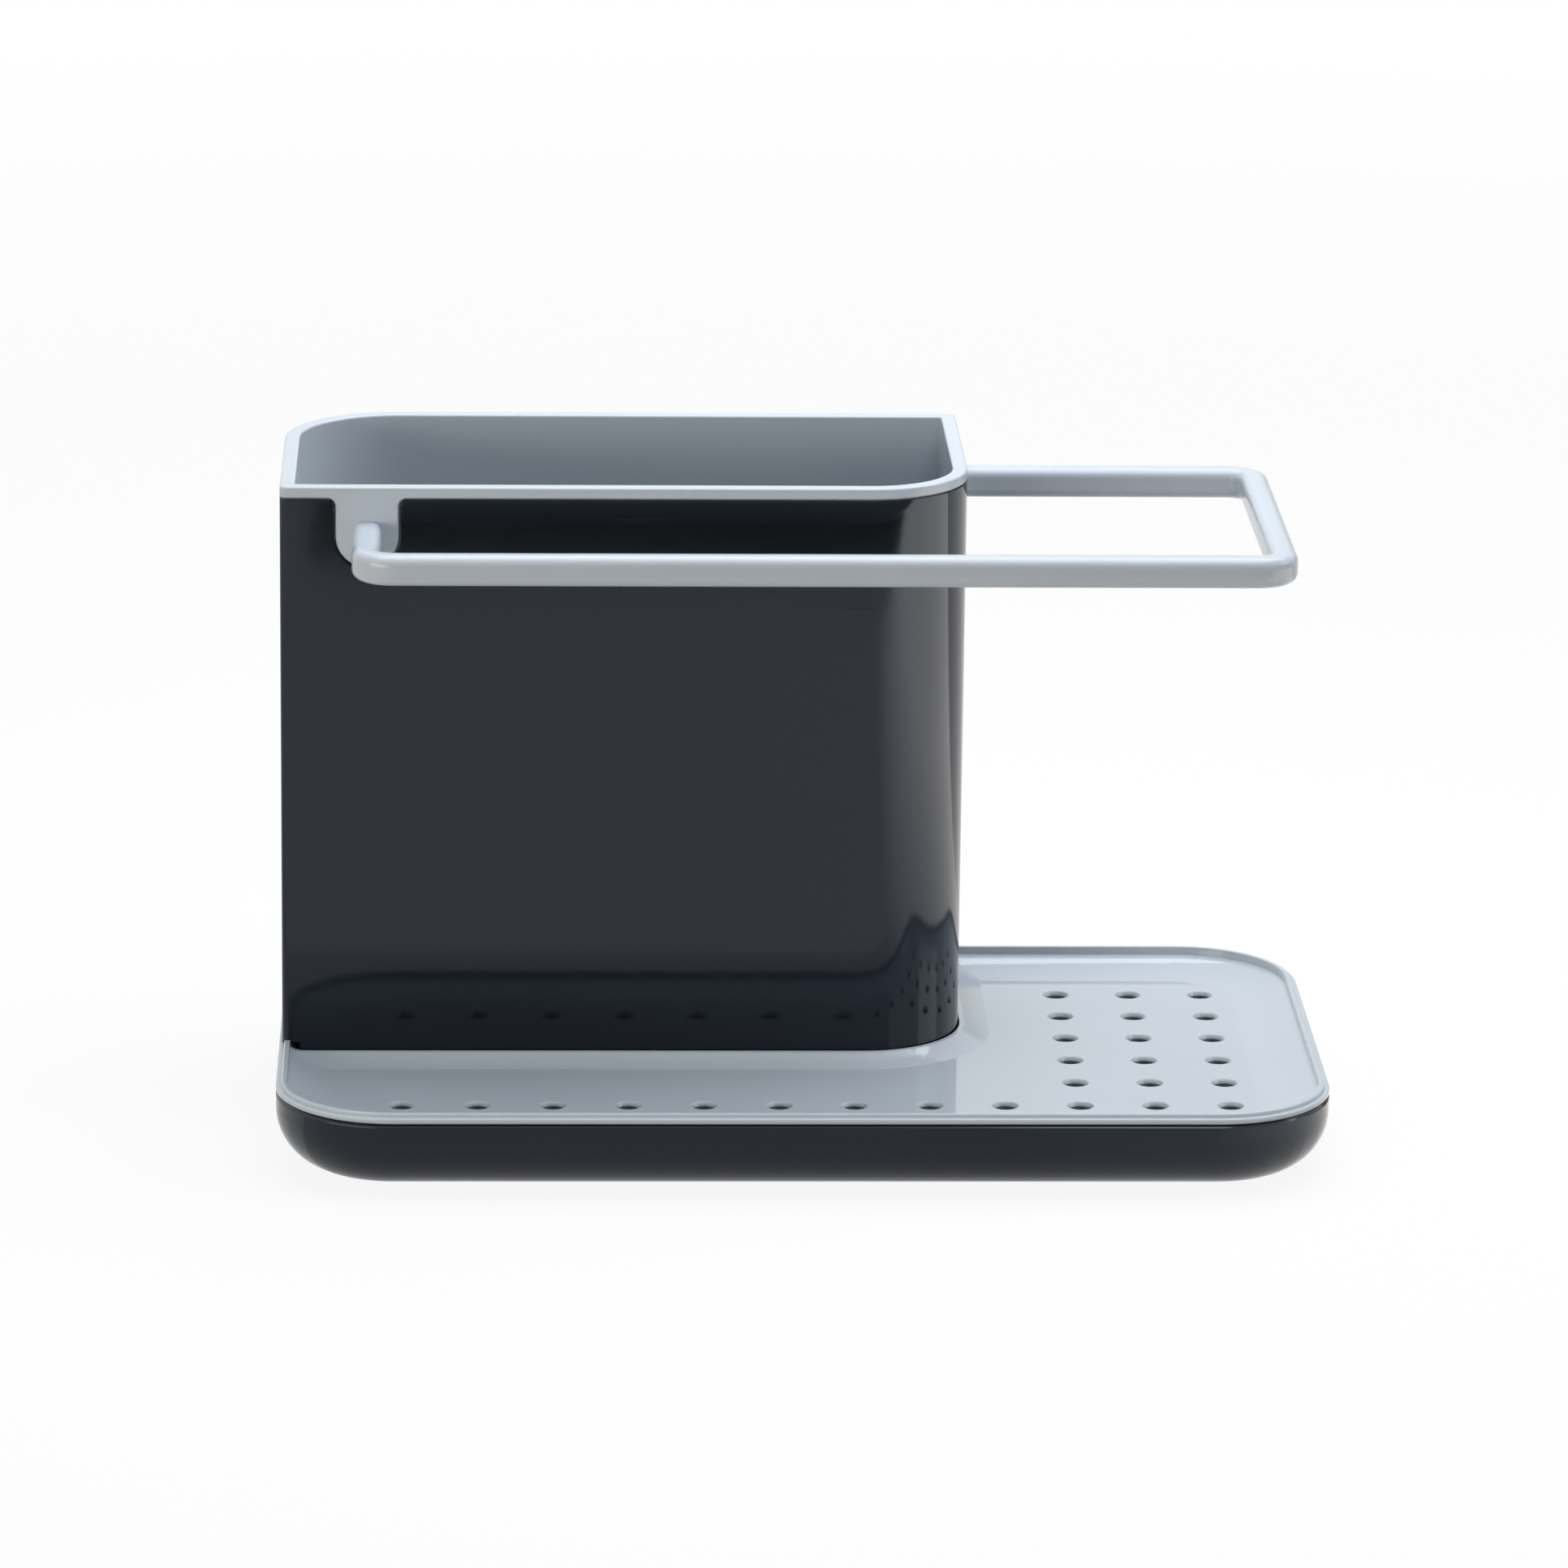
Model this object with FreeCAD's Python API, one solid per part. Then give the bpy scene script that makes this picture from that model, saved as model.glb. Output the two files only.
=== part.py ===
import FreeCAD
import Part
import math
import os

# Kitchen sink caddy. Millimetres, +Z up, origin on the ground under the middle of the tray.
# X runs along the tray from the pot to the sponge end, Y runs from the user to the back.

# Overall sizes, from the pitch of the drain holes and the photo's proportions
TRAY_LENGTH = 210.0
TRAY_DEPTH = 117.2
TRAY_CORNER_R = 23.5
CADDY_HEIGHT = 132.3

# Fits between pieces
LIFT_GAP = 0.35          # side gap between pieces that lift apart
SHOULDER_GAP = 0.3       # height left free where a second face would also touch
SOCKET_GAP = 0.08        # radial gap of the rail's spigots in the tongues
FOOT_GAP = 0.1           # radial gap of a foot in its recess
MERGE = 0.6              # depth by which joined volumes of one piece run into each other
CUT_PAST = 2.0           # how far a cutter runs past the material
MIN_CORNER_R = 0.5       # smallest inside corner
SAME_POINT = 0.001       # nearer points count as one
EDGE_SAMPLES = 3         # points looked at along an edge

# Feet
FOOT_R = 6.0
FOOT_PROUD = 0.8
FOOT_SEAT_DEPTH = 1.6
FOOT_CHAMFER = 0.5
FOOT_FROM_END = 30.0
FOOT_FROM_SIDE = 25.0
FOOT_BOSS_WALL = 1.6
FOOT_BOSS_ROOF = 1.2

# Base tub
TUB_HEIGHT = 14.9
TUB_WALL = 1.6
TUB_FLOOR = 2.2
TUB_BOTTOM_R = 11.5
TUB_LIP_CHAMFER = 0.7
RIB_THICKNESS = 1.8
RIB_LENGTH = 38.0
RIB_PITCH = 34.0
RIB_COUNT = 4

# Drip plate
FLANGE_THICKNESS = 1.2
FLANGE_EDGE_R = 0.4
FLANGE_CHAMFER = 0.4     # along the flange's lower edge
BEAD_SETBACK = 1.0
BEAD_HEIGHT = 0.8
BEAD_WIDTH = 1.2
BEAD_EDGE_R = 0.35
PLATE_THICKNESS = 2.0
DISH_DROP = 2.1          # from the tub's top edge down to the dish floor
DISH_WALL = 1.6          # upright wall inside the bead, above the hollow curve
COVE_LEFT = 9.0          # widths of the hollow curve between wall and floor
COVE_RIGHT = 12.0
COVE_FRONT = 9.0
COVE_REAR = 11.2
COVE_TIGHTEN = 0.4       # part by which the corner radius shrinks down the curve
COVE_SECTIONS = 5
COLLAR_LIP = 1.0         # flat top of the collar round the pot
COLLAR_SLOPE = 7.0       # width of the hollow curve beside the pot
COLLAR_HEIGHT = 2.0      # above the dish floor
COLLAR_SINK = 0.15       # how far the collar's curve runs on below the floor
LEDGE_SETBACK = 8.0      # from the pot's front face back to the ledge under its shoulder
WELL_WALL = 1.5
WELL_DEPTH = 8.0         # below the top of the flange
WELL_FLOOR = 1.8

# Drain holes
HOLE_PITCH = 15.0
HOLE_R = 2.1
DIMPLE_R = 2.7
DIMPLE_DEPTH = 0.8
HOLES_FROM_RIGHT = 20.0
HOLES_FROM_FRONT = 19.1
DISH_COLUMNS = 3
DISH_ROWS = 6
FRONT_ROW_HOLES = 12
WELL_HOLE_R = 4.0
WELL_HOLE_PITCH = 34.0
WELL_HOLE_COUNT = 3

# Brush pot
POT_LENGTH = 137.6
POT_DEPTH = 67.2
POT_SETBACK = 0.6        # in from the tray's left and rear edges
POT_ROUND_R = 20.0
POT_SHARP_R = 1.2
POT_WALL = 1.6
POT_FLOOR = 1.8
POT_PAD_HEIGHT = 1.2
POT_PAD_R = 4.0
POT_PAD_SPAN_X = 96.0
POT_PAD_SPAN_Y = 42.0
POT_BASE_CHAMFER = 0.8
POT_HOLE_R = 2.5
POT_HOLE_PITCH = 17.0
POT_HOLE_COLUMNS = 6
POT_HOLE_ROWS = 2

# Rim frame
RIM_HEIGHT = 2.4
RIM_EDGE_R = 0.45
SLEEVE_WALL = 1.1
SLEEVE_DEPTH = 34.0
TONGUE_WIDTH = 12.6
TONGUE_ROOT_R = 1.6
TONGUE_SHOULDER = 4.0
TONGUE_CHAMFER = 0.4
FRONT_TONGUE_FROM_LEFT = 17.4
RIGHT_TONGUE_FROM_BACK = 17.6
SLEEVE_LEAD_IN = 0.4

# Cloth rail
RAIL_WIDTH = 5.6
RAIL_THICKNESS = 6.1
RAIL_EDGE_R = 1.9
RAIL_BELOW_TOP = 10.1    # from the caddy's top to the rail's middle line
RAIL_REACH = 26.3        # from the pot's front face to the front bar's middle line
RAIL_RUN = 60.2          # from the pot's right face to the end bar's middle line
RAIL_BEND_R = 5.4
RAIL_FLARE = 1.2         # how far a root spreads, and over what length
FLARE_SECTIONS = 5
RAIL_SPIGOT_R = 2.0

# Heights that follow from the sizes
TUB_BOTTOM_Z = FOOT_PROUD
TUB_TOP_Z = TUB_BOTTOM_Z + TUB_HEIGHT
FLANGE_TOP_Z = TUB_TOP_Z + FLANGE_THICKNESS
BEAD_TOP_Z = FLANGE_TOP_Z + BEAD_HEIGHT
WALL_FOOT_Z = BEAD_TOP_Z - DISH_WALL
DISH_FLOOR_Z = TUB_TOP_Z - DISH_DROP
COLLAR_TOP_Z = DISH_FLOOR_Z + COLLAR_HEIGHT
PLATE_BOTTOM_Z = DISH_FLOOR_Z - PLATE_THICKNESS
WELL_FLOOR_Z = FLANGE_TOP_Z - WELL_DEPTH
WELL_BOTTOM_Z = WELL_FLOOR_Z - WELL_FLOOR
POT_SHOULDER_Z = FLANGE_TOP_Z + SHOULDER_GAP
POT_BASE_Z = WELL_FLOOR_Z + POT_PAD_HEIGHT
POT_TOP_Z = CADDY_HEIGHT - RIM_HEIGHT
RAIL_Z = CADDY_HEIGHT - RAIL_BELOW_TOP

# Plan positions that follow from the sizes
TRAY_LEFT = -TRAY_LENGTH / 2
TRAY_RIGHT = TRAY_LENGTH / 2
TRAY_FRONT = -TRAY_DEPTH / 2
TRAY_BACK = TRAY_DEPTH / 2
POT_LEFT = TRAY_LEFT + POT_SETBACK
POT_RIGHT = POT_LEFT + POT_LENGTH
POT_BACK = TRAY_BACK - POT_SETBACK
POT_FRONT = POT_BACK - POT_DEPTH
POT_MIDDLE_X = (POT_LEFT + POT_RIGHT) / 2
POT_MIDDLE_Y = (POT_FRONT + POT_BACK) / 2
SLEEVE_INSET = POT_WALL + LIFT_GAP
MOUTH_INSET = SLEEVE_INSET + SLEEVE_WALL
FRONT_TONGUE_X = POT_LEFT + FRONT_TONGUE_FROM_LEFT
RIGHT_TONGUE_Y = POT_BACK - RIGHT_TONGUE_FROM_BACK
RAIL_FRONT_Y = POT_FRONT - RAIL_REACH
RAIL_RIGHT_X = POT_RIGHT + RAIL_RUN
INSERT_INSET = TUB_WALL + LIFT_GAP
SPIGOT_SETBACK = INSERT_INSET + WELL_WALL + LIFT_GAP

ORIGIN = FreeCAD.Vector(0, 0, 0)
ALONG = FreeCAD.Vector(1, 0, 0)
BACK = FreeCAD.Vector(0, 1, 0)
UP = FreeCAD.Vector(0, 0, 1)


def outline(corners, z):
    """Closed wire at height z through (x, y, radius) corners, each rounded by a tangent arc."""
    starts, middles, ends = [], [], []
    for i, (x, y, radius) in enumerate(corners):
        corner = FreeCAD.Vector(x, y, z)
        before = corners[i - 1]
        after = corners[(i + 1) % len(corners)]
        way_in = (corner - FreeCAD.Vector(before[0], before[1], z)).normalize()
        way_out = (FreeCAD.Vector(after[0], after[1], z) - corner).normalize()
        half_turn = way_in.getAngle(way_out) / 2
        reach = radius * math.tan(half_turn)
        inward = (way_out - way_in).normalize()
        starts.append(corner - way_in * reach)
        middles.append(corner + inward * (radius / math.cos(half_turn) - radius))
        ends.append(corner + way_out * reach)
    edges = []
    for i, corner in enumerate(corners):
        if corner[2] > 0:
            edges.append(Part.Arc(starts[i], middles[i], ends[i]).toShape())
        following = starts[(i + 1) % len(corners)]
        if (following - ends[i]).Length > SAME_POINT:
            edges.append(Part.makeLine(ends[i], following))
    return Part.Wire(edges)


def prism(corners, bottom_z, top_z):
    """Upright solid over an outline."""
    return Part.Face(outline(corners, bottom_z)).extrude(UP * (top_z - bottom_z))


def tray_outline(inset):
    """Rounded rectangle of the tray, moved inward."""
    radius = TRAY_CORNER_R - inset
    left, right = TRAY_LEFT + inset, TRAY_RIGHT - inset
    front, back = TRAY_FRONT + inset, TRAY_BACK - inset
    return [(left, front, radius), (right, front, radius), (right, back, radius), (left, back, radius)]


def pot_outline(inset):
    """Pot plan with round front right and rear left corners, moved inward (negative: outward)."""
    return pot_shape(POT_LEFT + inset, POT_BACK - inset, inset)


def spigot_outline(inset):
    """Plan of the pot below the shoulder: stepped in from the tray's edge on the left and at the rear."""
    return pot_shape(TRAY_LEFT + SPIGOT_SETBACK + inset, TRAY_BACK - SPIGOT_SETBACK - inset, inset)


def pot_shape(left, back, inset):
    """Corners of a pot plan: the rear left one shares its centre with the tray's corner."""
    right, front = POT_RIGHT - inset, POT_FRONT + inset
    wide = POT_ROUND_R - inset
    tight = max(POT_SHARP_R - inset, MIN_CORNER_R)
    rear_left = TRAY_CORNER_R - (left - TRAY_LEFT)
    return [(left, front, tight), (right, front, wide), (right, back, tight), (left, back, rear_left)]


def cove_outline(down):
    """Plan of the sponge dish: down is 0 at the foot of the upright wall and 1 at the flat floor."""
    inset = BEAD_SETBACK + BEAD_WIDTH
    radius = (TRAY_CORNER_R - inset) * (1 - COVE_TIGHTEN * down)
    left, right = TRAY_LEFT + inset + COVE_LEFT * down, TRAY_RIGHT - inset - COVE_RIGHT * down
    front, back = TRAY_FRONT + inset + COVE_FRONT * down, TRAY_BACK - inset - COVE_REAR * down
    return [(left, front, radius), (right, front, radius), (right, back, radius), (left, back, radius)]


def hollow_curve(down, low_z, high_z):
    """Height on a hollow curve that runs out level at its low end."""
    return low_z + (high_z - low_z) * (1 - down) ** 2


def make_dish():
    """Cutter for the sponge dish: wall, hollow curve and floor, less the ledge and the collar at the pot."""
    steps = [i / (COVE_SECTIONS - 1) for i in range(COVE_SECTIONS)]
    rings = [outline(cove_outline(t), hollow_curve(t, DISH_FLOOR_Z, WALL_FOOT_Z)) for t in steps]
    cove = Part.makeLoft(rings, True, False)
    dish = cove.fuse(prism(cove_outline(0), WALL_FOOT_Z, BEAD_TOP_Z + CUT_PAST)).removeSplitter()
    rings = []
    for t in steps:
        beside = LIFT_GAP + COLLAR_LIP + COLLAR_SLOPE * t
        rings.append(outline(pot_outline(-beside), hollow_curve(t, DISH_FLOOR_Z - COLLAR_SINK, COLLAR_TOP_Z)))
    collar = Part.makeLoft(rings, True, False)
    ledge = prism(pot_outline(0), DISH_FLOOR_Z - CUT_PAST, FLANGE_TOP_Z)
    return dish.cut(collar).cut(ledge.translated(BACK * LEDGE_SETBACK))


def edges_at(shape, z):
    """Edges of a shape that lie wholly at height z."""
    return [e for e in shape.Edges if max(abs(p.z - z) for p in e.discretize(EDGE_SAMPLES)) < SAME_POINT]


def disc(radius, x, y, bottom_z, top_z):
    """Upright round bar."""
    return Part.makeCylinder(radius, top_z - bottom_z, FreeCAD.Vector(x, y, bottom_z))


def spread(middle, pitch, count):
    """Evenly pitched positions about a middle."""
    return [middle + pitch * (i - (count - 1) / 2) for i in range(count)]


def foot_spots():
    """Foot nodes and their plan positions."""
    x = TRAY_LENGTH / 2 - FOOT_FROM_END
    y = TRAY_DEPTH / 2 - FOOT_FROM_SIDE
    return {
        "foot_front_left": (-x, -y),
        "foot_front_right": (x, -y),
        "foot_rear_left": (-x, y),
        "foot_rear_right": (x, y),
    }


def make_foot(x, y):
    """Soft round pad with an eased lower edge."""
    pad = disc(FOOT_R, x, y, 0, TUB_BOTTOM_Z + FOOT_SEAT_DEPTH)
    return pad.makeChamfer(FOOT_CHAMFER, edges_at(pad, 0))


def tub_hollow(gap):
    """Inside of the tub, moved inward by a gap: the tub is cut by it and the plate's well kept within it."""
    floor_z = TUB_BOTTOM_Z + TUB_FLOOR + gap
    block = prism(tray_outline(TUB_WALL + gap), floor_z, TUB_TOP_Z + CUT_PAST)
    return block.makeFillet(TUB_BOTTOM_R - TUB_WALL - gap, edges_at(block, floor_z))


def make_tub():
    """Shallow tub with a deep rounded underside, ribs under the pot and recesses for the feet."""
    body = prism(tray_outline(0), TUB_BOTTOM_Z, TUB_TOP_Z)
    body = body.makeFillet(TUB_BOTTOM_R, edges_at(body, TUB_BOTTOM_Z))
    body = body.makeChamfer(TUB_LIP_CHAMFER, edges_at(body, TUB_TOP_Z))
    tub = body.cut(tub_hollow(0))
    floor_z = TUB_BOTTOM_Z + TUB_FLOOR
    for x in spread(POT_MIDDLE_X, RIB_PITCH, RIB_COUNT):
        corner = FreeCAD.Vector(x - RIB_THICKNESS / 2, POT_MIDDLE_Y - RIB_LENGTH / 2, floor_z - MERGE)
        tub = tub.fuse(Part.makeBox(RIB_THICKNESS, RIB_LENGTH, WELL_BOTTOM_Z - floor_z + MERGE, corner))
    seat_z = TUB_BOTTOM_Z + FOOT_SEAT_DEPTH
    for x, y in foot_spots().values():
        tub = tub.fuse(disc(FOOT_R + FOOT_BOSS_WALL, x, y, floor_z - MERGE, seat_z + FOOT_BOSS_ROOF))
    for x, y in foot_spots().values():
        tub = tub.cut(disc(FOOT_R + FOOT_GAP, x, y, TUB_BOTTOM_Z - CUT_PAST, seat_z))
    return tub.removeSplitter()


def hole_spots():
    """Drain holes of the dish: a grid at the sponge end, whose front row runs on before the pot."""
    spots = []
    for column in range(FRONT_ROW_HOLES):
        rows = DISH_ROWS if column < DISH_COLUMNS else 1
        for row in range(rows):
            spots.append((TRAY_RIGHT - HOLES_FROM_RIGHT - HOLE_PITCH * column,
                          TRAY_FRONT + HOLES_FROM_FRONT + HOLE_PITCH * row))
    return spots


def drain_hole(x, y):
    """Cutter for a hole in the bottom of a round funnel."""
    spread_rate = (DIMPLE_R - HOLE_R) / DIMPLE_DEPTH
    top_r = DIMPLE_R + spread_rate * MERGE
    low = FreeCAD.Vector(x, y, DISH_FLOOR_Z - DIMPLE_DEPTH)
    funnel = Part.makeCone(HOLE_R, top_r, DIMPLE_DEPTH + MERGE, low)
    return funnel.fuse(disc(HOLE_R, x, y, PLATE_BOTTOM_Z - CUT_PAST, DISH_FLOOR_Z))


def make_plate():
    """Upper tray: stepped edge, hollow L-shaped dish with drain holes, and the well for the pot."""
    flange = prism(tray_outline(0), TUB_TOP_Z, FLANGE_TOP_Z)
    flange = flange.makeFillet(FLANGE_EDGE_R, edges_at(flange, FLANGE_TOP_Z))
    flange = flange.makeChamfer(FLANGE_CHAMFER, edges_at(flange, TUB_TOP_Z))
    bead = prism(tray_outline(BEAD_SETBACK), FLANGE_TOP_Z - MERGE, BEAD_TOP_Z)
    bead = bead.makeFillet(BEAD_EDGE_R, edges_at(bead, BEAD_TOP_Z))
    insert = prism(tray_outline(INSERT_INSET), PLATE_BOTTOM_Z, TUB_TOP_Z + MERGE)
    well = prism(spigot_outline(-LIFT_GAP - WELL_WALL), WELL_BOTTOM_Z, TUB_TOP_Z + MERGE)
    well = well.common(tub_hollow(LIFT_GAP))
    plate = flange.fuse([bead, insert, well])
    plate = plate.cut(make_dish())
    plate = plate.cut(prism(spigot_outline(-LIFT_GAP), WELL_FLOOR_Z, BEAD_TOP_Z + CUT_PAST))
    plate = plate.cut(prism(pot_outline(-LIFT_GAP), FLANGE_TOP_Z, BEAD_TOP_Z + CUT_PAST))
    for x, y in hole_spots():
        plate = plate.cut(drain_hole(x, y))
    for x in spread(POT_MIDDLE_X, WELL_HOLE_PITCH, WELL_HOLE_COUNT):
        drain = disc(WELL_HOLE_R, x, POT_MIDDLE_Y, WELL_BOTTOM_Z - CUT_PAST, WELL_FLOOR_Z + CUT_PAST)
        plate = plate.cut(drain)
    return plate.removeSplitter()


def tongue_outline(grow):
    """Profile of a tongue about x = 0, drawn in plan: y stands for height. Grow widens it for the notch."""
    half = TONGUE_WIDTH / 2 + grow
    low = RAIL_Z - half
    wing = half + TONGUE_SHOULDER
    top = POT_TOP_Z + RIM_HEIGHT / 2
    end_r = half - SAME_POINT
    return [
        (-wing, top, 0), (-wing, POT_TOP_Z, 0), (-half, POT_TOP_Z, TONGUE_ROOT_R),
        (-half, low, end_r), (half, low, end_r), (half, POT_TOP_Z, TONGUE_ROOT_R),
        (wing, POT_TOP_Z, 0), (wing, top, 0),
    ]


def tongue(grow, from_face, to_face, chamfer, on_right_wall):
    """Upright tongue of the given profile; its depth runs inward from the pot's outer face."""
    depth = to_face - from_face
    blade = Part.Face(outline(tongue_outline(grow), 0)).extrude(UP * depth)
    if chamfer > 0:
        low_edges = [e for e in edges_at(blade, depth) if e.CenterOfMass.y < POT_TOP_Z + SAME_POINT]
        blade = blade.makeChamfer(chamfer, low_edges)
    blade.rotate(ORIGIN, ALONG, 90)
    blade.translate(BACK * to_face)
    if on_right_wall:
        blade.rotate(ORIGIN, UP, 90)
        blade.translate(FreeCAD.Vector(POT_RIGHT, RIGHT_TONGUE_Y, 0))
    else:
        blade.translate(FreeCAD.Vector(FRONT_TONGUE_X, POT_FRONT, 0))
    return blade


def make_pot():
    """Tall pot: shoulder on the tray's edge, spigot in the well, notches for the frame's tongues."""
    body = prism(pot_outline(0), POT_SHOULDER_Z, POT_TOP_Z)
    spigot = prism(spigot_outline(0), POT_BASE_Z, POT_SHOULDER_Z + MERGE)
    spigot = spigot.makeChamfer(POT_BASE_CHAMFER, edges_at(spigot, POT_BASE_Z))
    pot = body.fuse(spigot)
    step_z = POT_SHOULDER_Z + POT_WALL
    pot = pot.cut(prism(pot_outline(POT_WALL), step_z, POT_TOP_Z + CUT_PAST))
    pot = pot.cut(prism(spigot_outline(POT_WALL), POT_BASE_Z + POT_FLOOR, step_z + CUT_PAST))
    for on_right_wall in (False, True):
        pot = pot.cut(tongue(LIFT_GAP, -CUT_PAST, POT_WALL + CUT_PAST, 0, on_right_wall))
    for x in spread(POT_MIDDLE_X, POT_PAD_SPAN_X, 2):
        for y in spread(POT_MIDDLE_Y, POT_PAD_SPAN_Y, 2):
            pot = pot.fuse(disc(POT_PAD_R, x, y, WELL_FLOOR_Z, POT_BASE_Z + MERGE))
    for x in spread(POT_MIDDLE_X, POT_HOLE_PITCH, POT_HOLE_COLUMNS):
        for y in spread(POT_MIDDLE_Y, POT_HOLE_PITCH, POT_HOLE_ROWS):
            pot = pot.cut(disc(POT_HOLE_R, x, y, POT_BASE_Z - CUT_PAST, POT_BASE_Z + POT_FLOOR + CUT_PAST))
    return pot.removeSplitter()


def rail_roots():
    """Where the rail leaves each tongue, which way it runs, and whether that is along X."""
    front = FreeCAD.Vector(FRONT_TONGUE_X, POT_FRONT, RAIL_Z)
    right = FreeCAD.Vector(POT_RIGHT, RIGHT_TONGUE_Y, RAIL_Z)
    return [(front, -BACK, False), (right, ALONG, True)]


def rail_sockets(gap):
    """Round bars at the rail's two ends, through the tongues and the sleeve."""
    return [Part.makeCylinder(RAIL_SPIGOT_R + gap, MOUTH_INSET, root, -way) for root, way, _ in rail_roots()]


def make_frame():
    """Rim on the pot's mouth with a sleeve inside and two tongues outside."""
    sleeve_z = CADDY_HEIGHT - SLEEVE_DEPTH
    rim = prism(pot_outline(0), POT_TOP_Z, CADDY_HEIGHT)
    rim = rim.makeChamfer(TONGUE_CHAMFER, edges_at(rim, POT_TOP_Z))
    sleeve = prism(pot_outline(SLEEVE_INSET), sleeve_z, POT_TOP_Z + MERGE)
    sleeve = sleeve.makeChamfer(SLEEVE_LEAD_IN, edges_at(sleeve, sleeve_z))
    frame = rim.fuse(sleeve)
    frame = frame.cut(prism(pot_outline(MOUTH_INSET), sleeve_z - CUT_PAST, CADDY_HEIGHT + CUT_PAST))
    frame = frame.makeFillet(RIM_EDGE_R, edges_at(frame, CADDY_HEIGHT))
    for on_right_wall in (False, True):
        frame = frame.fuse(tongue(0, 0, SLEEVE_INSET + MERGE, TONGUE_CHAMFER, on_right_wall))
    for socket in rail_sockets(SOCKET_GAP):
        frame = frame.cut(socket)
    return frame.removeSplitter()


def rail_section(at, grow, along_x):
    """Rounded section of the rail, square to its run."""
    half_w = RAIL_WIDTH / 2 + grow
    half_t = RAIL_THICKNESS / 2 + grow
    radius = RAIL_EDGE_R + grow
    ring = outline([
        (-half_w, -half_t, radius), (half_w, -half_t, radius),
        (half_w, half_t, radius), (-half_w, half_t, radius),
    ], 0)
    ring.rotate(ORIGIN, ALONG, 90)
    if along_x:
        ring.rotate(ORIGIN, UP, 90)
    ring.translate(at)
    return ring


def rail_flare(root, way, along_x):
    """Hollow spread where the rail meets a tongue."""
    rings = []
    for i in range(FLARE_SECTIONS):
        run = RAIL_FLARE * i / (FLARE_SECTIONS - 1)
        grow = RAIL_FLARE - math.sqrt(RAIL_FLARE ** 2 - (RAIL_FLARE - run) ** 2)
        rings.append(rail_section(root + way * run, grow, along_x))
    return Part.makeLoft(rings, True, False)


def rail_path():
    """Middle line of the rail with rounded bends, from the front tongue to the right one."""
    (first, _, _), (last, _, _) = rail_roots()
    bends = [
        first,
        FreeCAD.Vector(FRONT_TONGUE_X, RAIL_FRONT_Y, RAIL_Z),
        FreeCAD.Vector(RAIL_RIGHT_X, RAIL_FRONT_Y, RAIL_Z),
        FreeCAD.Vector(RAIL_RIGHT_X, RIGHT_TONGUE_Y, RAIL_Z),
        last,
    ]
    edges, start = [], first
    for before, bend, after in zip(bends, bends[1:], bends[2:]):
        way_in = (bend - before).normalize()
        way_out = (after - bend).normalize()
        turn_in = bend - way_in * RAIL_BEND_R
        turn_out = bend + way_out * RAIL_BEND_R
        middle = turn_in + way_out * RAIL_BEND_R + (way_in - way_out).normalize() * RAIL_BEND_R
        edges.append(Part.makeLine(start, turn_in))
        edges.append(Part.Arc(turn_in, middle, turn_out).toShape())
        start = turn_out
    edges.append(Part.makeLine(start, last))
    return Part.Wire(edges)


def make_rail():
    """Bent bar round the sponge end, with flared roots and spigots in the tongues."""
    first_root = rail_roots()[0][0]
    bar = rail_path().makePipeShell([rail_section(first_root, 0, False)], True, False)
    flares = [rail_flare(root, way, along_x) for root, way, along_x in rail_roots()]
    return bar.fuse(flares + rail_sockets(0)).removeSplitter()


os.makedirs("parts", exist_ok=True)
pieces = {
    "base_tub": make_tub(),
    "drip_plate": make_plate(),
    "brush_pot": make_pot(),
    "rim_frame": make_frame(),
    "cloth_rail": make_rail(),
}
for name, (foot_x, foot_y) in foot_spots().items():
    pieces[name] = make_foot(foot_x, foot_y)
for name, piece in pieces.items():
    piece.exportStep("parts/" + name + ".step")
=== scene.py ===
"""Kitchen sink caddy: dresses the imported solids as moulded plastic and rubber, in a pale studio."""
import logging
import math
from dataclasses import dataclass, replace
from enum import Enum
from typing import Any, Mapping, Sequence

import bmesh
import bpy
from mathutils import Matrix, Vector


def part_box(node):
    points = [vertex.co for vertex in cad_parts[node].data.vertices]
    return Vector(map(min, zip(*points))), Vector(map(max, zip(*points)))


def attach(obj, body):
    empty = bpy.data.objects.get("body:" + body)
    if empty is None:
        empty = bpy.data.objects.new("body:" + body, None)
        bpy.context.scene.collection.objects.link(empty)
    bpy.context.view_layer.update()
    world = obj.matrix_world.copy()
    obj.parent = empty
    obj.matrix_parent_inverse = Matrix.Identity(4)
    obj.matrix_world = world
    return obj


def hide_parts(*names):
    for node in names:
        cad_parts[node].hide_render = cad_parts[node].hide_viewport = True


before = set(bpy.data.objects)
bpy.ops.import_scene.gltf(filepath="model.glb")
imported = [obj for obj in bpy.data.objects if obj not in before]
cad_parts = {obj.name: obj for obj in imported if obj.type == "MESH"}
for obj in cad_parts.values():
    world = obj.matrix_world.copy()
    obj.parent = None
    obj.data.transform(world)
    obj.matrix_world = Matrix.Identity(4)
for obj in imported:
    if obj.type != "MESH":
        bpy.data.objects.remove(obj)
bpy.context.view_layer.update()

LOG = logging.getLogger("sink_caddy")
MM = 0.001

Colour = tuple[float, float, float]
Point = tuple[float, float, float]
Spot = tuple[float, float]
Band = tuple[float, float]

WHITE: Colour = (1.0, 1.0, 1.0)


class Slot(Enum):
    """Material slot of the record, which nothing in this script uses."""

    RUBBER = "foot_rubber"


class Body(Enum):
    """Bodies of the record that new pieces ride on."""

    BASE = "base"


class Axis(Enum):
    """Places of coordinates in a vector."""

    X = 0
    Z = 2


def rgba(colour: Colour) -> tuple[float, float, float, float]:
    """Returns the colour with full opacity."""
    return (*colour, 1.0)


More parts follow.
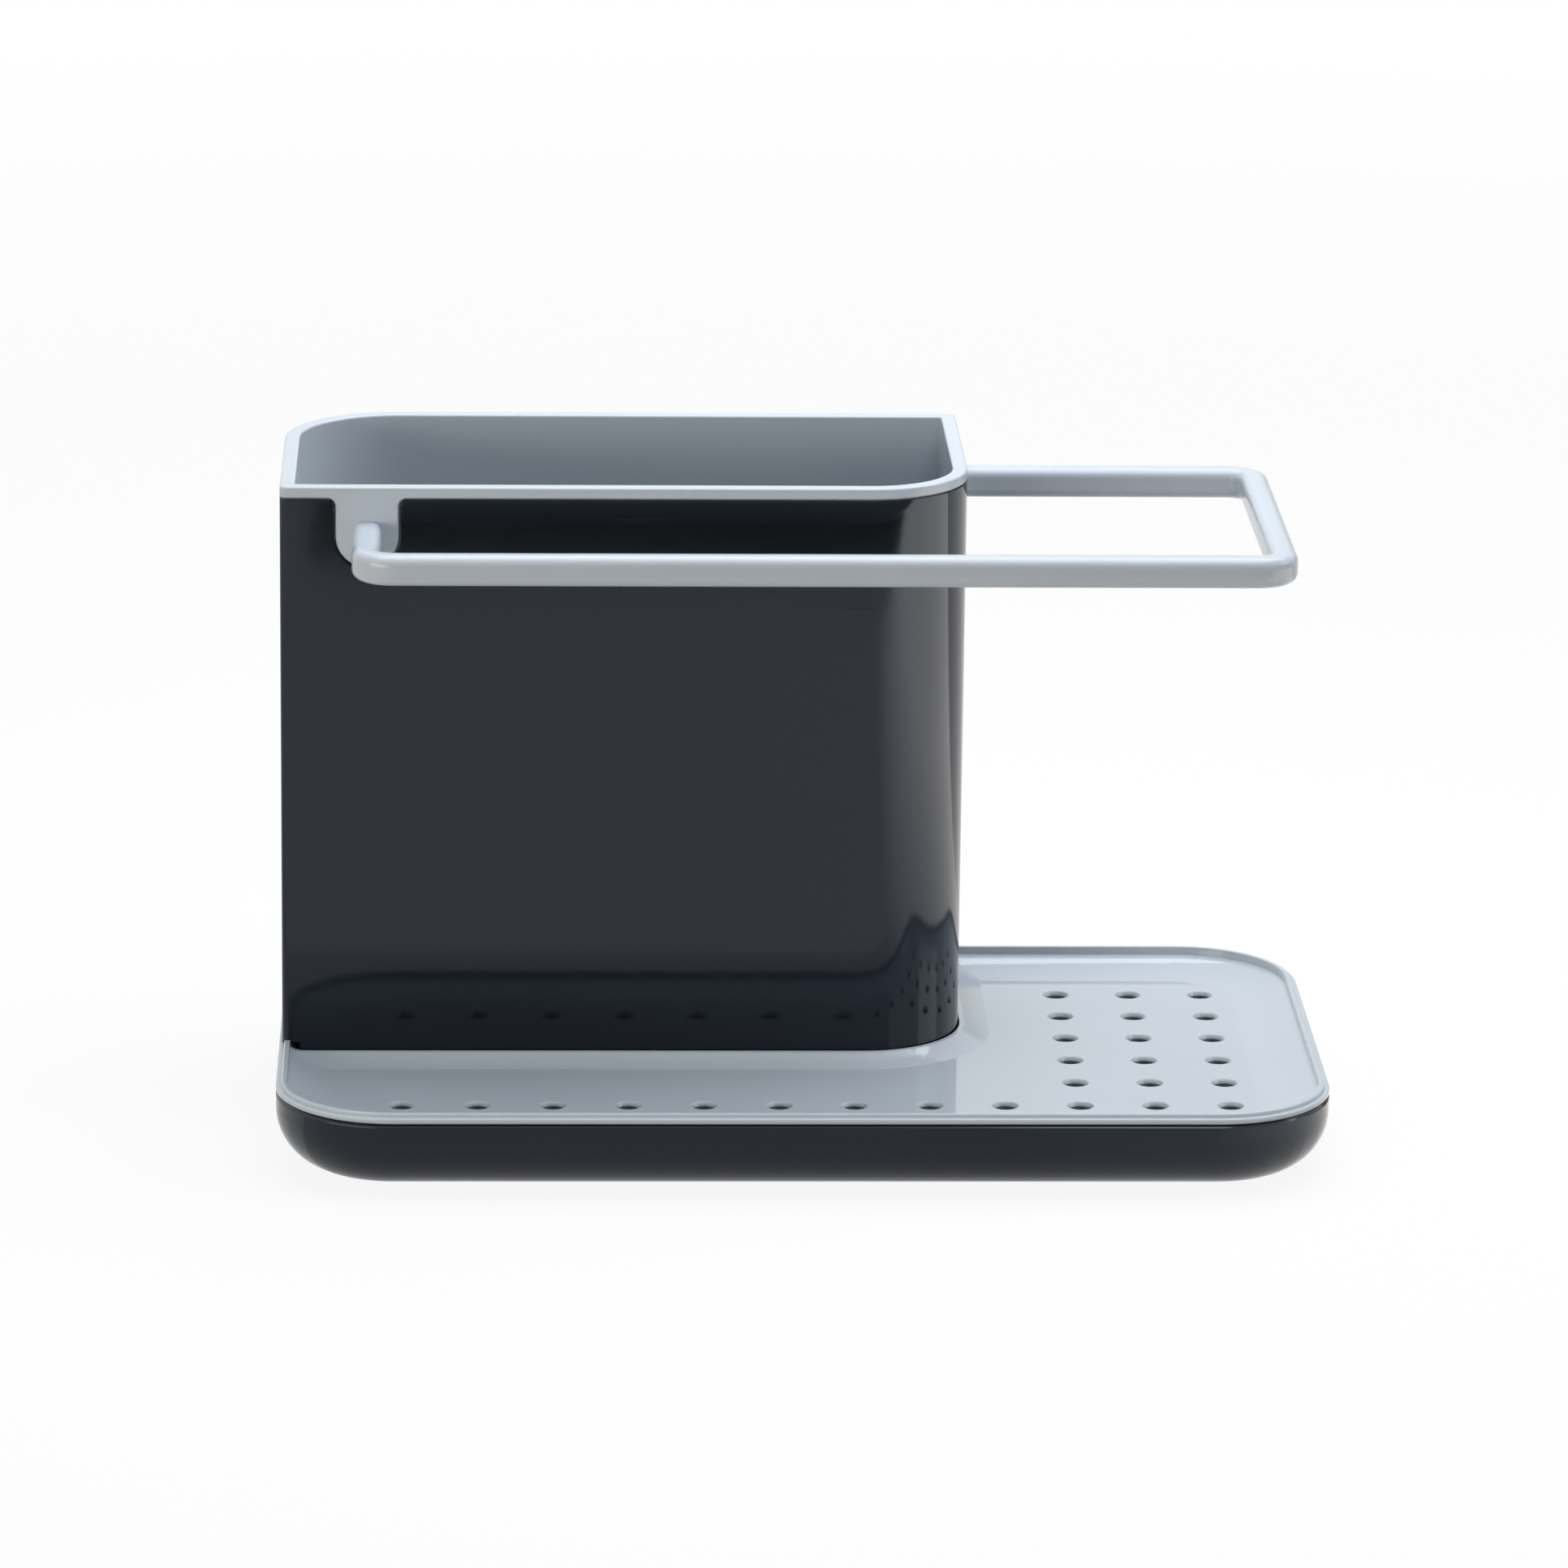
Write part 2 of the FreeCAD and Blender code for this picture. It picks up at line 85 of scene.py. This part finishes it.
class Sock:
    """A node's output that takes part in Python arithmetic."""

    def __init__(self, shade: "Shade", output: bpy.types.NodeSocket | None) -> None:
        """Keeps the tree that the output belongs to.

        Args:
            shade: Tree under construction.
            output: Socket that is wrapped, or None for a closing node.
        """
        self.shade = shade
        self.output = output

    def math(self, operation: str, *values: "Sock | float") -> "Sock":
        """Adds a Math node that has this socket first.

        Args:
            operation: Name of the Math node's operation.
            values: Its further inputs.

        Returns:
            The result.
        """
        return self.shade.node("ShaderNodeMath", {"operation": operation}, dict(enumerate((self, *values))))

    def __add__(self, other: "Sock | float") -> "Sock":
        """Sum of two values."""
        return self.math("ADD", other)

    def __radd__(self, other: float) -> "Sock":
        """Sum with a plain number in front."""
        return self + other

    def __sub__(self, other: "Sock | float") -> "Sock":
        """Difference of two values."""
        return self.math("SUBTRACT", other)

    def __rsub__(self, other: float) -> "Sock":
        """Difference with a plain number in front."""
        return self.shade.node("ShaderNodeMath", {"operation": "SUBTRACT"}, {0: other, 1: self})

    def __mul__(self, other: "Sock | float") -> "Sock":
        """Product of two values."""
        return self.math("MULTIPLY", other)

    def __rmul__(self, other: float) -> "Sock":
        """Product with a plain number in front."""
        return self * other

    def at_least(self, other: "Sock | float") -> "Sock":
        """The larger of two values."""
        return self.math("MAXIMUM", other)

    def ramp(self, low: float, high: float) -> "Sock":
        """Runs from 0 at low to 1 at high, held at both ends.

        Args:
            low: Value that gives 0, which may be the larger of the two.
            high: Value that gives 1.

        Returns:
            The held value.
        """
        return self.shade.node("ShaderNodeMapRange", {"clamp": True}, {0: self, 1: low, 2: high})

    def along(self, axis: Axis) -> "Sock":
        """One coordinate of a vector.

        Args:
            axis: Coordinate that is wanted.

        Returns:
            Its value.
        """
        return self.shade.node("ShaderNodeSeparateXYZ", {}, {0: self}, axis.value)


class Shade:
    """Node tree of a material or a world."""

    def __init__(self, owner: bpy.types.Material | bpy.types.World) -> None:
        """Empties the owner's tree.

        Args:
            owner: Material or world that the nodes are for.
        """
        owner.use_nodes = True
        self.tree = owner.node_tree
        self.tree.nodes.clear()

    def node(
        self,
        kind: str,
        settings: Mapping[str, Any],
        inputs: Mapping[str | int, Any],
        output: str | int = 0,
    ) -> Sock:
        """Adds a node.

        Args:
            kind: Type of the node.
            settings: Its properties, which are set first.
            inputs: Values or links of its sockets, by name or place.
            output: Socket that is handed back.

        Returns:
            The chosen output.
        """
        made = self.tree.nodes.new(kind)
        for key, value in settings.items():
            setattr(made, key, value)
        for key, value in inputs.items():
            if isinstance(value, Sock):
                self.tree.links.new(value.output, made.inputs[key])
            else:
                made.inputs[key].default_value = value
        return Sock(self, made.outputs[output] if made.outputs else None)

    def place(self) -> Sock:
        """Coordinates on the object, in metres."""
        return self.node("ShaderNodeTexCoord", {}, {}, "Object")

    def noise(self, place: Sock, scale: float, detail: float) -> Sock:
        """Adds a noise pattern.

        Args:
            place: Coordinates in metres.
            scale: Repeats for each metre.
            detail: Finer layers.

        Returns:
            Values about one half.
        """
        return self.node("ShaderNodeTexNoise", {}, {"Vector": place, "Scale": scale, "Detail": detail})

    def stretch(self, place: Sock, turn: Point, scale: Point) -> Sock:
        """Turns and stretches coordinates.

        Args:
            place: Coordinates in metres.
            turn: Angles about the three axes.
            scale: Factors along the three axes.

        Returns:
            The new coordinates.
        """
        return self.node("ShaderNodeMapping", {}, {"Vector": place, "Rotation": turn, "Scale": scale})

    def tint(self, share: Sock, plain: Colour | Sock, other: Colour) -> Sock:
        """Mixes two colours.

        Args:
            share: Part of the other colour.
            plain: Colour where the share is 0.
            other: Colour where the share is 1.

        Returns:
            The mixed colour.
        """
        first = plain if isinstance(plain, Sock) else rgba(plain)
        return self.node("ShaderNodeMix", {"data_type": "RGBA"}, {0: share, 6: first, 7: rgba(other)}, 2)

    def blend(self, share: Sock, plain: Sock, other: Sock) -> Sock:
        """Mixes two shaders.

        Args:
            share: Part of the other shader.
            plain: Shader where the share is 0.
            other: Shader where the share is 1.

        Returns:
            The mixed shader.
        """
        return self.node("ShaderNodeMixShader", {}, {0: share, 1: plain, 2: other})

    def cover(self, shader: Sock) -> None:
        """Closes a material's tree with its shader."""
        self.node("ShaderNodeOutputMaterial", {}, {"Surface": shader})


@dataclass(frozen=True)
class Wiping:
    """Fine marks that a cloth leaves along one direction."""

    turn: Point
    repeats: Point
    band: Band
    detail: float = 2.0

    def marks(self, shade: Shade, place: Sock) -> Sock:
        """Draws the marks.

        Args:
            shade: Tree under construction.
            place: Coordinates in metres.

        Returns:
            1 on a mark and 0 elsewhere.
        """
        return shade.noise(shade.stretch(place, self.turn, self.repeats), 1.0, self.detail).ramp(*self.band)


@dataclass(frozen=True)
class PlasticFinish:
    """Moulded plastic: a gloss that wavers a little, cloudy colour, wiping marks, dust and painted shade.

    Dust lies on what faces up. Painted shade darkens narrow places below a height, such as drain holes, as
    their shadow would.
    """

    name: str
    colour: Colour
    cloud_colour: Colour
    dust_colour: Colour
    # colour of the painted shade that darkens narrow places
    painted_shade_colour: Colour
    roughness: float
    roughness_cloud: float
    wiping_roughness: float
    wiping_depth: float
    ior: float
    gloss_tint: Colour
    dust_share: float
    # share of the painted shade in narrow places, and the height above which there is none
    painted_shade_share: float
    painted_shade_top: float
    edge_r: float = 0.25 * MM
    edge_samples: int = 6
    cloud_scale: float = 24.0
    cloud_detail: float = 3.0
    cloud_band: Band = (0.3, 0.7)
    peel_scale: float = 260.0
    peel_detail: float = 1.0
    peel_depth: float = 0.004 * MM
    grain_scale: float = 2600.0
    grain_detail: float = 2.0
    grain_depth: float = 0.04
    dust_scale: float = 900.0
    dust_detail: float = 4.0
    dust_band: Band = (0.56, 0.74)
    dust_facing: Band = (0.6, 1.0)
    # reach, samples, band and fade of the painted shade in narrow places
    painted_shade_reach: float = 6.0 * MM
    painted_shade_samples: int = 8
    painted_shade_band: Band = (0.15, 0.40)
    painted_shade_fade: float = 0.5 * MM
    wipings: tuple[Wiping, Wiping] = (
        Wiping((0.3, 0.2, 0.5), (30.0, 1400.0, 1400.0), (0.66, 0.74)),
        Wiping((0.9, -0.4, -0.7), (1400.0, 40.0, 1400.0), (0.67, 0.75)),
    )

    def material(self) -> bpy.types.Material:
        """Makes the material.

        Returns:
            A Principled material with colour, roughness and normal from its nodes.
        """
        made = bpy.data.materials.new(self.name)
        shade = Shade(made)
        place = shade.place()
        cloud = shade.noise(place, self.cloud_scale, self.cloud_detail)
        dust = self.dust(shade, place)
        first, second = (wiping.marks(shade, place) for wiping in self.wipings)
        marks = first.at_least(second)
        colour = shade.tint(cloud.ramp(*self.cloud_band), self.colour, self.cloud_colour)
        colour = shade.tint(dust, colour, self.dust_colour)
        # painted shade: darker colour in narrow places, such as drain holes, below a height
        colour = shade.tint(self.painted_shade(shade, place), colour, self.painted_shade_colour)
        roughness = self.roughness + (cloud - 0.5) * self.roughness_cloud
        shader = shade.node("ShaderNodeBsdfPrincipled", {}, {
            "Base Color": colour,
            "Roughness": roughness + marks * self.wiping_roughness + dust,
            "IOR": self.ior,
            "Specular Tint": rgba(self.gloss_tint),
            "Normal": self.relief(shade, place, marks),
        })
        shade.cover(shader)
        return made

    def dust(self, shade: Shade, place: Sock) -> Sock:
        """Share of dust.

        Args:
            shade: Tree under construction.
            place: Coordinates in metres.

        Returns:
            Small spots on what faces up.
        """
        facing = shade.node("ShaderNodeNewGeometry", {}, {}, "Normal").along(Axis.Z)
        spots = shade.noise(place, self.dust_scale, self.dust_detail).ramp(*self.dust_band)
        return facing.ramp(*self.dust_facing) * spots * self.dust_share

    def painted_shade(self, shade: Shade, place: Sock) -> Sock:
        """Share of painted shade, which darkens narrow places as if they were shadowed.

        Args:
            shade: Tree under construction.
            place: Coordinates in metres.

        Returns:
            More in narrow places, and none above the painted shade's top.
        """
        # painted shade from the ambient occlusion: the more closed in, the darker
        openness = shade.node(
            "ShaderNodeAmbientOcclusion",
            {"samples": self.painted_shade_samples},
            {"Distance": self.painted_shade_reach},
            "AO",
        )
        deep = place.along(Axis.Z).ramp(self.painted_shade_top, self.painted_shade_top - self.painted_shade_fade)
        return (1.0 - openness).ramp(*self.painted_shade_band) * deep * self.painted_shade_share

    def relief(self, shade: Shade, place: Sock, marks: Sock) -> Sock:
        """Surface direction with soft edges, a slight orange peel, a fine grain and the wiping marks.

        Args:
            shade: Tree under construction.
            place: Coordinates in metres.
            marks: 1 on a wiping mark.

        Returns:
            The direction.
        """
        peel = shade.noise(place, self.peel_scale, self.peel_detail)
        grain = shade.noise(place, self.grain_scale, self.grain_detail)
        soft_edge = shade.node("ShaderNodeBevel", {"samples": self.edge_samples}, {"Radius": self.edge_r})
        return shade.node("ShaderNodeBump", {}, {
            "Strength": 1.0,
            "Distance": self.peel_depth,
            "Height": peel + grain * self.grain_depth - marks * self.wiping_depth,
            "Normal": soft_edge,
        })


@dataclass(frozen=True)
class RubberFinish:
    """Matt soft rubber with a fine grain and paler worn spots."""

    name: str
    colour: Colour
    worn_colour: Colour
    roughness: float = 0.72
    worn_roughness: float = 0.12
    worn_scale: float = 240.0
    worn_detail: float = 3.0
    worn_band: Band = (0.45, 0.7)
    grain_scale: float = 3200.0
    grain_detail: float = 3.0
    grain_strength: float = 0.8
    grain_depth: float = 0.02 * MM

    def material(self) -> bpy.types.Material:
        """Makes the material.

        Returns:
            A Principled material with colour, roughness and normal from its nodes.
        """
        made = bpy.data.materials.new(self.name)
        shade = Shade(made)
        place = shade.place()
        worn = shade.noise(place, self.worn_scale, self.worn_detail).ramp(*self.worn_band)
        normal = shade.node("ShaderNodeBump", {}, {
            "Strength": self.grain_strength,
            "Distance": self.grain_depth,
            "Height": shade.noise(place, self.grain_scale, self.grain_detail),
        })
        shader = shade.node("ShaderNodeBsdfPrincipled", {}, {
            "Base Color": shade.tint(worn, self.colour, self.worn_colour),
            "Roughness": self.roughness + worn * self.worn_roughness,
            "Normal": normal,
        })
        shade.cover(shader)
        return made


CHARCOAL_GLOSS = PlasticFinish(
    name="charcoal_gloss",
    colour=(0.0036, 0.0044, 0.0062),
    cloud_colour=(0.0046, 0.0054, 0.0074),
    dust_colour=(0.20, 0.21, 0.22),
    # colour, share and top height of the painted shade in narrow places
    painted_shade_colour=(0.0015, 0.0015, 0.0016),
    roughness=0.075,
    roughness_cloud=0.05,
    wiping_roughness=0.06,
    wiping_depth=0.015,
    ior=1.52,
    gloss_tint=(0.74, 0.84, 1.00),
    dust_share=0.02,
    painted_shade_share=0.5,
    painted_shade_top=17.0 * MM,
)
COOL_GREY_GLOSS = PlasticFinish(
    name="cool_grey_gloss",
    colour=(0.530, 0.594, 0.652),
    cloud_colour=(0.545, 0.609, 0.667),
    dust_colour=(0.66, 0.69, 0.71),
    # colour, share and top height of the painted shade in narrow places
    painted_shade_colour=(0.045, 0.048, 0.050),
    roughness=0.13,
    roughness_cloud=0.06,
    wiping_roughness=0.12,
    wiping_depth=0.05,
    ior=1.45,
    gloss_tint=WHITE,
    dust_share=0.05,
    painted_shade_share=0.92,
    painted_shade_top=13.5 * MM,
)
SOFT_GREY_GLOSS = replace(COOL_GREY_GLOSS, name="soft_grey_gloss", edge_r=1.3 * MM)
DISH_GREY_GLOSS = replace(COOL_GREY_GLOSS, name="dish_grey_gloss", roughness=0.05, roughness_cloud=0.03)
PAD_RUBBER = RubberFinish(
    name="pad_rubber",
    colour=(0.020, 0.021, 0.023),
    worn_colour=(0.045, 0.046, 0.048),
)


def put_on(node: str, material: bpy.types.Material) -> bpy.types.Object:
    """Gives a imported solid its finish.

    Args:
        node: Name of the solid.
        material: Finish that takes every slot of it.

    Returns:
        The solid's object.
    """
    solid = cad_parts[node]
    solid.data.materials.clear()
    solid.data.materials.append(material)
    LOG.info("dressed %s in %s", node, material.name)
    return solid


@dataclass
class WaterTub:
    """Dark tub that catches the water, on four soft pads."""

    shell: str = "base_tub"
    pads: tuple[str, ...] = ("foot_front_left", "foot_front_right", "foot_rear_left", "foot_rear_right")
    pad_edge_r: float = 0.7 * MM
    pad_edge_steps: int = 6
    pad_turns: int = 64
    pad_weld: float = 0.001 * MM
    pad_crease: float = math.radians(40)

    def build(self) -> list[bpy.types.Object]:
        """Turns the pads, which have a round lower edge.

        Returns:
            One piece for each pad.
        """
        return [self.turn_pad(node) for node in self.pads]

    def pad_profile(self, radius: float, low: float, high: float) -> list[Spot]:
        """Half the outline of a pad, from the middle of its foot to the middle of its top.

        Args:
            radius: Outer radius.
            low: Height of the foot.
            high: Height of the top.

        Returns:
            Distances from the middle line, with their heights.
        """
        profile = [(0.0, low)]
        for step in range(self.pad_edge_steps + 1):
            angle = math.pi / 2 * step / self.pad_edge_steps
            inward = self.pad_edge_r * (1 - math.sin(angle))
            upward = self.pad_edge_r * (1 - math.cos(angle))
            profile.append((radius - inward, low + upward))
        return [*profile, (radius, high), (0.0, high)]

    def turn_pad(self, node: str) -> bpy.types.Object:
        """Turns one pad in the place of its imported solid.

        Args:
            node: Solid that the pad stands for.

        Returns:
            The new piece.
        """
        low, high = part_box(node)
        centre = (low + high) / 2
        profile = self.pad_profile((high.x - low.x) / 2, low.z, high.z)
        mesh = bmesh.new()
        points = [mesh.verts.new((centre.x + away, centre.y, height)) for away, height in profile]
        edges = [mesh.edges.new(pair) for pair in zip(points, points[1:])]
        bmesh.ops.spin(
            mesh, geom=points + edges, cent=centre, axis=(0, 0, 1), angle=2 * math.pi,
            steps=self.pad_turns, use_merge=True,
        )
        bmesh.ops.remove_doubles(mesh, verts=mesh.verts, dist=self.pad_weld)
        bmesh.ops.recalc_face_normals(mesh, faces=mesh.faces)
        data = bpy.data.meshes.new(node + "_pad")
        mesh.to_mesh(data)
        mesh.free()
        data.shade_smooth()
        data.set_sharp_from_angle(angle=self.pad_crease)
        pad = bpy.data.objects.new(node + "_pad", data)
        bpy.context.scene.collection.objects.link(pad)
        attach(pad, Body.BASE.value)
        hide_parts(node)
        LOG.info("built %s", pad.name)
        return pad

    def dress(self, shell: bpy.types.Material, rubber: bpy.types.Material) -> None:
        """Dresses the shell and the pads.

        Args:
            shell: Finish of the tub.
            rubber: Finish of the pads.
        """
        put_on(self.shell, shell)
        for pad in self.build():
            pad.data.materials.append(rubber)


@dataclass
class SpongePlate:
    """Light upper tray with the L-shaped dish, its drain holes and the pot's well."""

    tray: str = "drip_plate"

    def dress(self, finish: bpy.types.Material) -> None:
        """Dresses the tray."""
        put_on(self.tray, finish)


@dataclass
class BrushPot:
    """Tall dark pot."""

    pot: str = "brush_pot"

    def dress(self, finish: bpy.types.Material) -> None:
        """Dresses the pot."""
        put_on(self.pot, finish)


@dataclass
class RailFrame:
    """Light rim and sleeve in the pot's mouth, with the cloth rail."""

    rim: str = "rim_frame"
    rail: str = "cloth_rail"

    def dress(self, crisp: bpy.types.Material, soft: bpy.types.Material) -> None:
        """Dresses the rim in plastic with crisp edges, and the rail in plastic with soft ones."""
        put_on(self.rim, crisp)
        put_on(self.rail, soft)


@dataclass(frozen=True)
class SoftBox:
    """Studio lamp with a wide and a narrow side, aimed at the caddy."""

    name: str
    place: Point
    wide: float
    narrow: float
    power: float
    colour: Colour = WHITE
    aim: Point = (0.0, 0.0, 0.05)

    def build(self) -> bpy.types.Object:
        """Hangs the lamp.

        Returns:
            The lamp.
        """
        data = bpy.data.lights.new(self.name, "AREA")
        data.energy = self.power
        data.color = self.colour
        data.shape = "RECTANGLE"
        data.size = self.wide
        data.size_y = self.narrow
        lamp = bpy.data.objects.new(self.name, data)
        lamp.location = self.place
        lamp.rotation_euler = (Vector(self.aim) - Vector(self.place)).to_track_quat("-Z", "Y").to_euler()
        bpy.context.scene.collection.objects.link(lamp)
        return lamp


def lying(lift: float, *spots: Spot) -> tuple[Point, ...]:
    """Outline of a card that lies just over the floor, through spots given from the left and the front."""
    return tuple((x, y, lift) for x, y in spots)


def upright(left: float, right: float, distance: float, top: float) -> tuple[Point, ...]:
    """Outline of a card that stands on the floor across the view, at a distance behind the middle."""
    return (left, distance, 0.0), (right, distance, 0.0), (right, distance, top), (left, distance, top)


@dataclass(frozen=True)
class Flag:
    """Studio card that shows only as a mirror image in the gloss.

    It thins out along X over its fade, from its tone at the first place to clear at the second. A card
    that is given no fade keeps its tone, because both places are then beyond its edge.
    """

    name: str
    colour: Colour
    edge: Sequence[Point]
    fade: Band = (8.0, 9.0)

    def build(self) -> bpy.types.Object:
        """Sets up the card.

        Returns:
            The card.
        """
        data = bpy.data.meshes.new(self.name)
        data.from_pydata(self.edge, [], [tuple(range(len(self.edge)))])
        made = bpy.data.materials.new(self.name)
        shade = Shade(made)
        thin = shade.place().along(Axis.X).ramp(*self.fade)
        tone = shade.node("ShaderNodeEmission", {}, {"Color": rgba(self.colour), "Strength": 1.0})
        clear = shade.node("ShaderNodeBsdfTransparent", {}, {})
        shade.cover(shade.blend(thin, tone, clear))
        data.materials.append(made)
        card = bpy.data.objects.new(self.name, data)
        card.visible_camera = False
        card.visible_diffuse = False
        card.visible_shadow = False
        bpy.context.scene.collection.objects.link(card)
        return card


@dataclass(frozen=True)
class Viewpoint:
    """Camera at the photograph's place: distances in metres, angles in radians, lens in millimetres."""

    place: Point = (-0.0618, -1.5709, 0.5077)
    tilt: float = 0.2722
    turn: float = 0.0372
    roll: float = 0.0120
    lens: float = 185.81
    sensor: float = 36.0
    nearest: float = 0.05
    farthest: float = 50.0

    def build(self) -> bpy.types.Object:
        """Places the camera and makes it the scene's own.

        Returns:
            The camera.
        """
        ahead = Vector((
            math.sin(self.turn) * math.cos(self.tilt),
            math.cos(self.turn) * math.cos(self.tilt),
            -math.sin(self.tilt),
        ))
        level = Vector((math.cos(self.turn), -math.sin(self.turn), 0.0))
        over = level.cross(ahead)
        right = level * math.cos(self.roll) + over * math.sin(self.roll)
        up = over * math.cos(self.roll) - level * math.sin(self.roll)
        data = bpy.data.cameras.new("photo_camera")
        data.lens = self.lens
        data.sensor_width = self.sensor
        data.clip_start = self.nearest
        data.clip_end = self.farthest
        camera = bpy.data.objects.new("photo_camera", data)
        turned = Matrix((right, up, -ahead)).transposed().to_4x4()
        camera.matrix_world = Matrix.Translation(self.place) @ turned
        bpy.context.scene.collection.objects.link(camera)
        bpy.context.scene.camera = camera
        return camera


@dataclass
class Studio:
    """Pale floor, white surroundings, soft lamps and the cards that the gloss mirrors."""

    floor_half: float = 6.0
    floor_colour: Colour = (0.53, 0.51, 0.49)
    paper_colour: Colour = (0.95, 0.95, 0.95)
    floor_glow: float = 0.90
    glow_reach: Band = (0.25, 1.2)
    room_light: float = 0.16
    lamps: Sequence[SoftBox] = (
        SoftBox("top_lamp", (0.06, 0.10, 0.58), wide=0.62, narrow=0.62, power=4.0, colour=(0.96, 0.99, 1.04)),
        SoftBox("side_lamp", (1.05, -0.10, 0.60), wide=0.60, narrow=0.60, power=2.6),
        SoftBox(
            "front_lamp", (-0.75, -0.80, 0.16), wide=0.90, narrow=0.25, power=4.8, colour=(1.00, 0.92, 0.85),
        ),
    )
    flags: Sequence[Flag] = (
        # dark far floor and wall in front: the dark stretch between rim and rail
        Flag("floor_flag", (0.10, 0.10, 0.10), lying(
            0.5 * MM, (-0.11, -1.90), (1.20, -1.90), (1.20, -0.05), (0.70, -0.05),
            (0.51, -0.22), (0.34, -0.385), (0.10, -0.465), (-0.11, -0.475),
        )),
        Flag("front_flag", (0.10, 0.10, 0.10), upright(left=-1.2, right=1.2, distance=-1.9, top=1.4)),
        # pale near floor: the even front and left side of the pot
        Flag("near_flag", (0.88, 0.88, 0.88), lying(
            0.5 * MM, (-0.60, -0.46), (0.30, -0.46), (0.30, -0.045), (-0.095, -0.045),
            (-0.095, 0.40), (-0.60, 0.40),
        ), fade=(-0.04, 0.15)),
        # grey card at the tub's foot, seen only in the gloss: painted reflection of the floor's shadow right
        # at the tub's foot
        Flag("foot_shade_flag", (0.64, 0.64, 0.64), lying(
            0.8 * MM, (-0.60, -0.125), (0.20, -0.125), (0.20, -0.045), (-0.60, -0.045),
        ), fade=(0.04, 0.13)),
        # glowing card at the right, brighter than white and no lamp, seen only in the gloss: painted
        # reflection of a light stripe on the round corners of pot and tub
        Flag("right_glow_card", (2.9, 2.7, 2.5), lying(
            1.0 * MM, (0.06, -0.40), (0.75, -0.40), (0.75, 0.13), (0.06, 0.13),
        ), fade=(0.30, 0.08)),
        # darker wall behind, at the right: the duller right end of the dish
        Flag("rear_flag", (0.42, 0.40, 0.32), upright(
            left=-1.2, right=1.4, distance=1.2, top=0.52,
        ), fade=(0.40, 0.15)),
    )

    def build(self) -> None:
        """Lays the floor, sets the world, hangs the lamps and sets up the cards."""
        self.lay_floor()
        self.set_world()
        for thing in (*self.lamps, *self.flags):
            thing.build()
        bpy.context.scene.view_settings.view_transform = "Standard"

    def seen_share(self, shade: Shade) -> Sock:
        """1 for rays that show the background itself.

        Args:
            shade: Tree under construction.

        Returns:
            1 for camera, mirror and glass rays, 0 for those that only bring light.
        """
        camera = shade.node("ShaderNodeLightPath", {}, {}, "Is Camera Ray")
        mirror = shade.node("ShaderNodeLightPath", {}, {}, "Is Glossy Ray")
        glass = shade.node("ShaderNodeLightPath", {}, {}, "Is Transmission Ray")
        return camera.at_least(mirror).at_least(glass)

    def lay_floor(self) -> bpy.types.Object:
        """Lays a plain floor that stays nearly white and keeps a faint shadow.

        Returns:
            The floor.
        """
        half = self.floor_half
        corners = [(-half, -half, 0.0), (half, -half, 0.0), (half, half, 0.0), (-half, half, 0.0)]
        data = bpy.data.meshes.new("pale_floor")
        data.from_pydata(corners, [], [(0, 1, 2, 3)])
        made = bpy.data.materials.new("pale_floor")
        shade = Shade(made)
        lit = shade.node("ShaderNodeBsdfDiffuse", {}, {"Color": rgba(self.floor_colour)})
        paper = shade.node("ShaderNodeBsdfDiffuse", {}, {"Color": rgba(self.paper_colour)})
        glow = shade.node("ShaderNodeEmission", {}, {"Color": rgba(WHITE), "Strength": 1.0})
        away = shade.node("ShaderNodeVectorMath", {"operation": "LENGTH"}, {0: shade.place()}, 1)
        glow_share = self.floor_glow + away.ramp(*self.glow_reach) * (1.0 - self.floor_glow)
        shown = shade.blend(glow_share, paper, glow)
        shade.cover(shade.blend(self.seen_share(shade), lit, shown))
        data.materials.append(made)
        floor = bpy.data.objects.new("pale_floor", data)
        bpy.context.scene.collection.objects.link(floor)
        return floor

    def set_world(self) -> None:
        """Gives the room an even light and shows it as white."""
        world = bpy.data.worlds.new("pale_room")
        bpy.context.scene.world = world
        shade = Shade(world)
        light, white = (
            shade.node("ShaderNodeBackground", {}, {"Color": rgba(WHITE), "Strength": strength})
            for strength in (self.room_light, 1.0)
        )
        shader = shade.blend(self.seen_share(shade), light, white)
        shade.node("ShaderNodeOutputWorld", {}, {"Surface": shader})


def main() -> None:
    """Builds and dresses the caddy from the ground up, then the studio."""
    logging.basicConfig(level=logging.INFO, format="%(name)s: %(message)s")
    charcoal = CHARCOAL_GLOSS.material()
    WaterTub().dress(charcoal, PAD_RUBBER.material())
    SpongePlate().dress(DISH_GREY_GLOSS.material())
    BrushPot().dress(charcoal)
    RailFrame().dress(COOL_GREY_GLOSS.material(), SOFT_GREY_GLOSS.material())
    Studio().build()
    Viewpoint().build()


if __name__ == "__main__":
    main()
